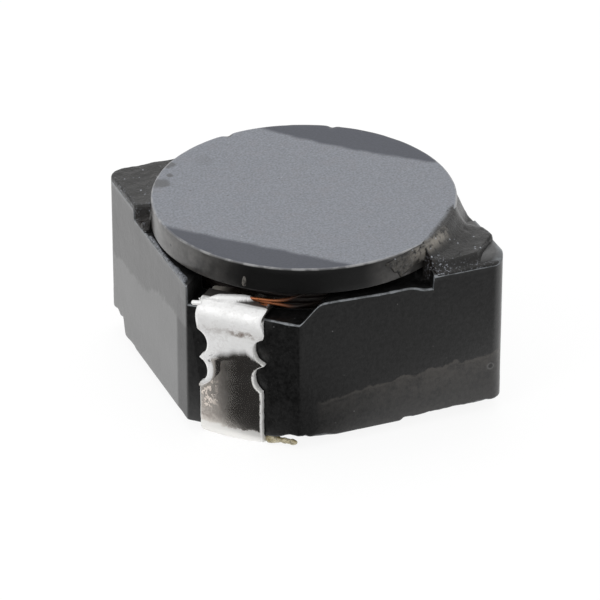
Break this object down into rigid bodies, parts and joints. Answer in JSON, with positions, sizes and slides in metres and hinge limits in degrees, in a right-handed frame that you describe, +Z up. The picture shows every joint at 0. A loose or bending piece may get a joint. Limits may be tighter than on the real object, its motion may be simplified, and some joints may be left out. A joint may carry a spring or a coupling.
{
  "type": "shielded surface-mount power inductor",
  "caption": "Square ferrite-shielded wirewound inductor with a round drum core and solderable strip terminals on two cut corners.",
  "frame": {"origin": "middle of the footprint on the board, at the underside of the terminals' feet", "axes": "+Z up, away from the board; the ring core's sides run along X and Y; the terminals are at the (-X, -Y) and (+X, +Y) corners"},
  "size_m": [0.007, 0.007, 0.0045],
  "materials": {
    "ring_ferrite": "fired nickel-zinc ferrite, semi-matt, dark grey",
    "drum_ferrite": "ground ferrite, satin, blue-grey",
    "enamelled_wire": "copper under a clear amber enamel",
    "tinned_strip": "tin-plated copper, bright",
    "solder": "tin solder, reflowed, bright with a grainy skin",
    "black_epoxy": "cured black epoxy with a rough skin",
    "amber_epoxy": "cured amber epoxy, glossy"
  },
  "bodies": {
    "root": {"ring_core": "ring_ferrite", "drum_core": "drum_ferrite", "winding": "enamelled_wire", "terminal_front": "tinned_strip", "terminal_rear": "tinned_strip", "solder_front": "solder", "solder_rear": "solder", "terminal_adhesive_front": "amber_epoxy", "terminal_adhesive_rear": "amber_epoxy", "corner_adhesive_left": "black_epoxy", "corner_adhesive_right": "black_epoxy", "base_adhesive": "amber_epoxy"}
  },
  "joints": []
}
